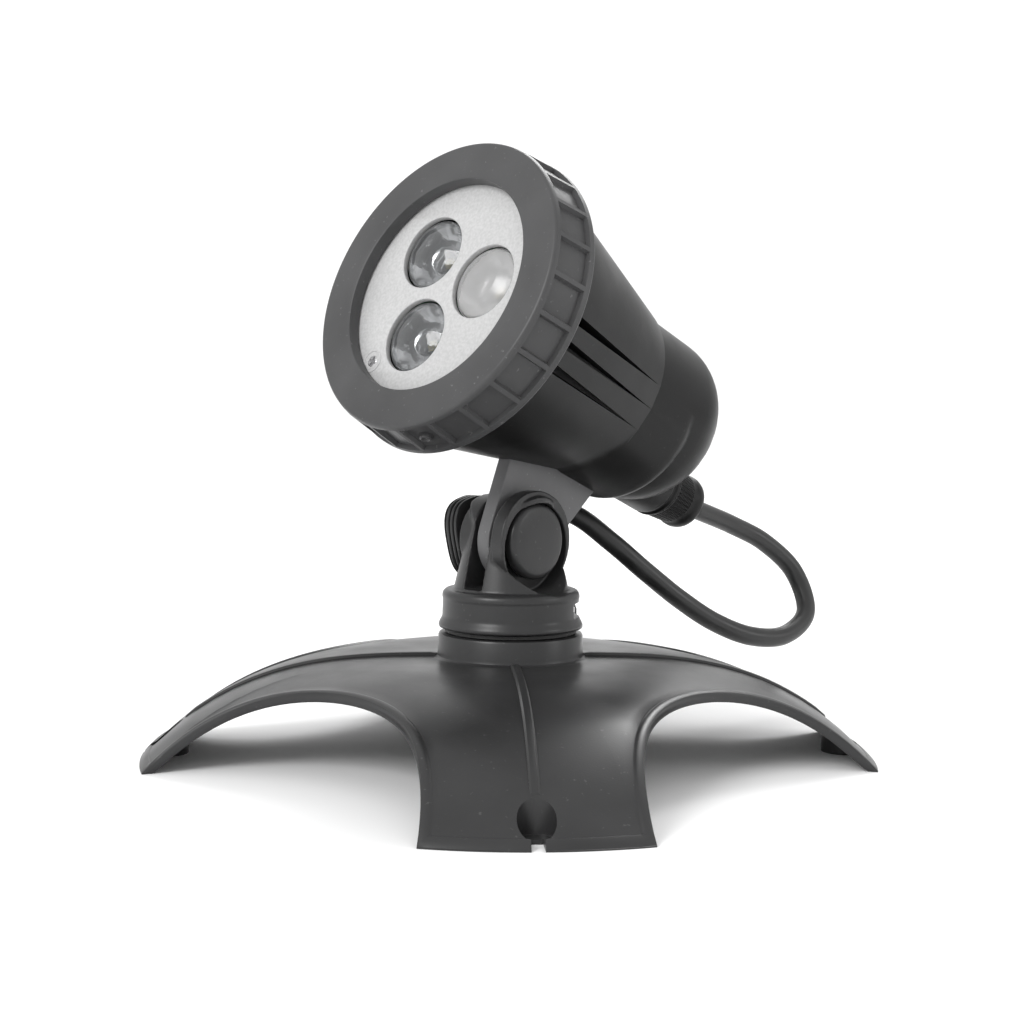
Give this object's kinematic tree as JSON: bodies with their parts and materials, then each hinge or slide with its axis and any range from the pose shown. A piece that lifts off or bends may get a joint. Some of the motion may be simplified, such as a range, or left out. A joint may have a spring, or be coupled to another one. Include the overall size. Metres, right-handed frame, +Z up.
{
  "type": "underwater pond light",
  "caption": "Underwater spot lamp with a finned tapered housing on a tilting, swivelling fork, over a low domed base with splayed legs and a rubber lead.",
  "frame": {"origin": "on the floor, on the swivel axis at the centre of the base", "axes": "+Z up along the swivel axis, one leg along -Y"},
  "size_m": [0.182, 0.3038, 0.1481],
  "materials": {
    "charcoal": "moulded, fine grain, satin",
    "black": "moulded, satin",
    "grey": "moulded, satin",
    "face": "smooth, satin white",
    "clear": "polished clear plastic",
    "seal": "soft moulded rubber",
    "cable": "smooth extruded sheath",
    "plug": "moulded, satin",
    "strap": "woven strap",
    "circuit": "solder resist",
    "emitter": "phosphor under clear resin",
    "steel": "stainless",
    "brass": "turned",
    "aluminium": "cast, machined face"
  },
  "bodies": {
    "base": {"base_plate": "charcoal", "swivel_seal": "seal", "cord_tail": "cable", "cord_hank": "cable", "hank_tie": "strap", "cord_plug": "plug", "plug_ring": "plug"},
    "fork": {"swivel_fork": "charcoal", "swivel_screw": "steel", "swivel_washer": "steel", "pivot_bolt": "charcoal", "knob_washer": "steel", "cord_drop": "cable"},
    "head": {"tilt_bracket": "grey", "bracket_screw_1": "steel", "bracket_screw_2": "steel", "housing": "black", "front_seal": "seal", "face_plate": "face", "face_screw": "steel", "lens_1": "clear", "lens_2": "clear", "lens_3": "clear", "led_1": "emitter", "led_2": "emitter", "led_3": "emitter", "led_board": "circuit", "heat_sink": "aluminium", "driver_board": "circuit", "gland_seal": "seal", "cord_loop": "cable"},
    "bezel": {"bezel_ring": "grey"},
    "knob": {"clamp_knob": "charcoal", "knob_insert": "brass"},
    "gland": {"gland_nut": "black"}
  },
  "joints": [
    {"name": "swivel", "type": "hinge", "parent": "base", "child": "fork", "pos_m": [0, 0, 0.03], "axis": [0, 0, 1], "range_deg": [-50, 35], "deforming": ["cord_tail"]},
    {"name": "tilt", "type": "hinge", "parent": "fork", "child": "head", "pos_m": [0, 0, 0.0532], "axis": [-0.682, 0.7314, 0], "range_deg": [-40, 6], "deforming": ["cord_drop"]},
    {"name": "bezel_turn", "type": "hinge", "parent": "head", "child": "bezel", "pos_m": [-0.02049, -0.01911, 0.11467], "axis": [-0.6781, -0.6323, 0.3746], "range_deg": [0, 25]},
    {"name": "knob_turn", "type": "hinge", "parent": "fork", "child": "knob", "pos_m": [0, 0, 0.0532], "axis": [-0.682, 0.7314, 0], "continuous": true},
    {"name": "gland_turn", "type": "hinge", "parent": "head", "child": "gland", "pos_m": [0.04674, 0.04359, 0.06189], "axis": [-0.6781, -0.6323, 0.3746], "continuous": true}
  ]
}
